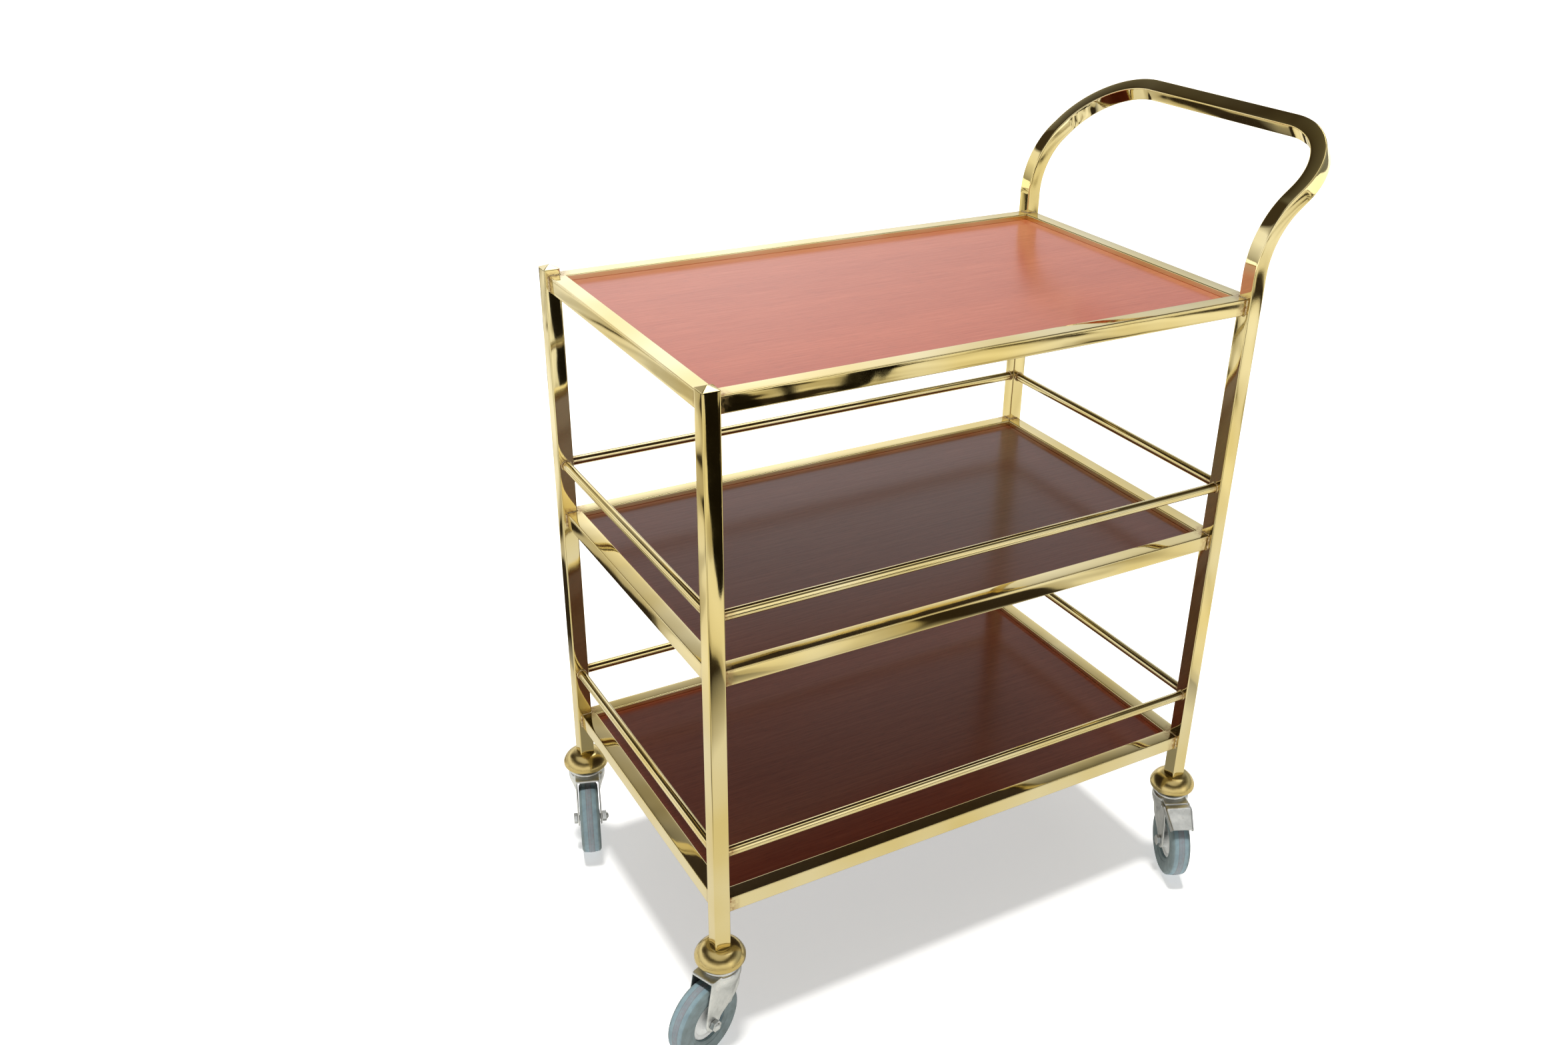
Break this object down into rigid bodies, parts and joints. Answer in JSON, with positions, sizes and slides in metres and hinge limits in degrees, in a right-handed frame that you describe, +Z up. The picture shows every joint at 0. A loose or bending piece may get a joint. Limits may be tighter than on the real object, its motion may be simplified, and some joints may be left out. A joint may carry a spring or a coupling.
{
  "type": "hotel service cart",
  "caption": "Hotel service cart with gold square-tube frame, bent push handle, recessed wood-look shelves, guard rods and swivel casters with brakes.",
  "frame": {"origin": "on the floor at the middle of the footprint of the whole cart, casters and handle included", "axes": "+X towards the push handle end, +Y towards the back long side, +Z up"},
  "size_m": [0.9151, 0.5405, 1.0091],
  "materials": {
    "gold_plate": "mirror-polished gold-coloured plating on stainless steel tube",
    "wood_laminate": "semi-gloss reddish mahogany laminate, grain along the length",
    "zinc_plate": "satin zinc-plated pressed steel",
    "hub_polymer": "light grey moulded polymer",
    "tyre_rubber": "matt blue-grey rubber"
  },
  "bodies": {
    "frame": {"front_left_post": "gold_plate", "back_left_post": "gold_plate", "front_left_finial": "gold_plate", "back_left_finial": "gold_plate", "push_handle_hoop": "gold_plate", "bottom_front_rail": "gold_plate", "bottom_right_rail": "gold_plate", "bottom_back_rail": "gold_plate", "bottom_left_rail": "gold_plate", "bottom_panel": "wood_laminate", "middle_front_rail": "gold_plate", "middle_right_rail": "gold_plate", "middle_back_rail": "gold_plate", "middle_left_rail": "gold_plate", "middle_panel": "wood_laminate", "top_front_rail": "gold_plate", "top_right_rail": "gold_plate", "top_back_rail": "gold_plate", "top_left_rail": "gold_plate", "top_panel": "wood_laminate", "bottom_front_guard_rod": "gold_plate", "bottom_right_guard_rod": "gold_plate", "bottom_back_guard_rod": "gold_plate", "bottom_left_guard_rod": "gold_plate", "middle_front_guard_rod": "gold_plate", "middle_right_guard_rod": "gold_plate", "middle_back_guard_rod": "gold_plate", "middle_left_guard_rod": "gold_plate", "front_left_dome_cup": "gold_plate", "front_left_caster_stem": "zinc_plate", "back_left_dome_cup": "gold_plate", "back_left_caster_stem": "zinc_plate", "front_right_dome_cup": "gold_plate", "front_right_caster_stem": "zinc_plate", "back_right_dome_cup": "gold_plate", "back_right_caster_stem": "zinc_plate"},
    "front_left_caster": {"front_left_fork": "zinc_plate", "front_left_axle_bolt": "zinc_plate", "front_left_axle_nut": "zinc_plate"},
    "front_left_wheel": {"front_left_wheel_hub": "hub_polymer", "front_left_tyre": "tyre_rubber"},
    "back_left_caster": {"back_left_fork": "zinc_plate", "back_left_axle_bolt": "zinc_plate", "back_left_axle_nut": "zinc_plate"},
    "back_left_wheel": {"back_left_wheel_hub": "hub_polymer", "back_left_tyre": "tyre_rubber"},
    "front_right_caster": {"front_right_fork": "zinc_plate", "front_right_axle_bolt": "zinc_plate", "front_right_axle_nut": "zinc_plate", "front_right_brake_pin": "zinc_plate"},
    "front_right_wheel": {"front_right_wheel_hub": "hub_polymer", "front_right_tyre": "tyre_rubber"},
    "front_right_brake": {"front_right_brake_pedal": "zinc_plate"},
    "back_right_caster": {"back_right_fork": "zinc_plate", "back_right_axle_bolt": "zinc_plate", "back_right_axle_nut": "zinc_plate", "back_right_brake_pin": "zinc_plate"},
    "back_right_wheel": {"back_right_wheel_hub": "hub_polymer", "back_right_tyre": "tyre_rubber"},
    "back_right_brake": {"back_right_brake_pedal": "zinc_plate"}
  },
  "joints": [
    {"name": "front_left_swivel", "type": "hinge", "parent": "frame", "child": "front_left_caster", "pos_m": [-0.38, -0.194, 0.12], "axis": [0, 0, 1], "continuous": true},
    {"name": "front_left_wheel_spin", "type": "hinge", "parent": "front_left_caster", "child": "front_left_wheel", "pos_m": [-0.40921, -0.2058, 0.049], "axis": [0.3746, -0.9272, 0], "continuous": true},
    {"name": "back_left_swivel", "type": "hinge", "parent": "frame", "child": "back_left_caster", "pos_m": [-0.38, 0.24, 0.12], "axis": [0, 0, 1], "continuous": true},
    {"name": "back_left_wheel_spin", "type": "hinge", "parent": "back_left_caster", "child": "back_left_wheel", "pos_m": [-0.39026, 0.21022, 0.049], "axis": [0.9455, -0.3256, 0], "continuous": true},
    {"name": "front_right_swivel", "type": "hinge", "parent": "frame", "child": "front_right_caster", "pos_m": [0.318, -0.194, 0.12], "axis": [0, 0, 1], "continuous": true},
    {"name": "front_right_wheel_spin", "type": "hinge", "parent": "front_right_caster", "child": "front_right_wheel", "pos_m": [0.30444, -0.22243, 0.049], "axis": [0.9026, -0.4305, 0], "continuous": true},
    {"name": "front_right_brake_pedal", "type": "hinge", "parent": "front_right_caster", "child": "front_right_brake", "pos_m": [0.30724, -0.21657, 0.1035], "axis": [0.9026, -0.4305, 0], "range_deg": [0, 6]},
    {"name": "back_right_swivel", "type": "hinge", "parent": "frame", "child": "back_right_caster", "pos_m": [0.318, 0.24, 0.12], "axis": [0, 0, 1], "continuous": true},
    {"name": "back_right_wheel_spin", "type": "hinge", "parent": "back_right_caster", "child": "back_right_wheel", "pos_m": [0.30039, 0.21388, 0.049], "axis": [0.829, -0.5592, 0], "continuous": true},
    {"name": "back_right_brake_pedal", "type": "hinge", "parent": "back_right_caster", "child": "back_right_brake", "pos_m": [0.30402, 0.21927, 0.1035], "axis": [0.829, -0.5592, 0], "range_deg": [0, 6]}
  ]
}
